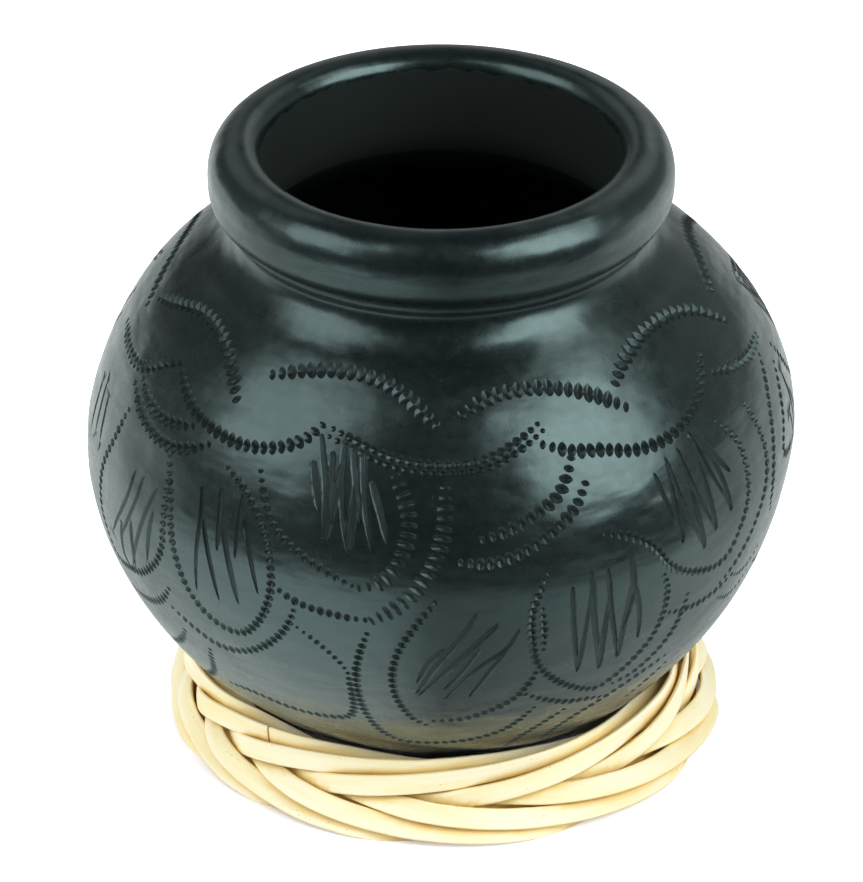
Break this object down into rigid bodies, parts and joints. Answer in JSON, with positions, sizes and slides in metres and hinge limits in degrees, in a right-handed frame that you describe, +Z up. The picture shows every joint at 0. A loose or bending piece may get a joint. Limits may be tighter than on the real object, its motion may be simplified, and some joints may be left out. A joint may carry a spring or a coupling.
{
  "type": "miniature vase",
  "caption": "Small round-bellied black clay vase with a thick rolled lip and incised scallop rows, standing loose in a ring stand plaited from flat pale cane strips.",
  "frame": {"origin": "on the table under the ring, on the axis of the vase", "axes": "+Z up along the axis of the vase, -Y towards the pictured front, +X to its right"},
  "size_m": [0.088, 0.088, 0.0805],
  "materials": {
    "black_clay": "burnished, unglazed, soft gloss",
    "cane": "bare split cane, satin"
  },
  "bodies": {
    "ring": {"ring_strip_1": "cane", "ring_strip_2": "cane", "ring_strip_3": "cane", "ring_strip_4": "cane", "ring_strip_5": "cane", "ring_strip_6": "cane", "ring_strip_7": "cane", "ring_strip_8": "cane", "ring_strip_9": "cane"},
    "vase": {"vase": "black_clay"}
  },
  "joints": [
    {"name": "vase_lift", "type": "slide", "parent": "ring", "child": "vase", "axis": [0, 0, 1], "range_m": [0, 0.03]}
  ]
}
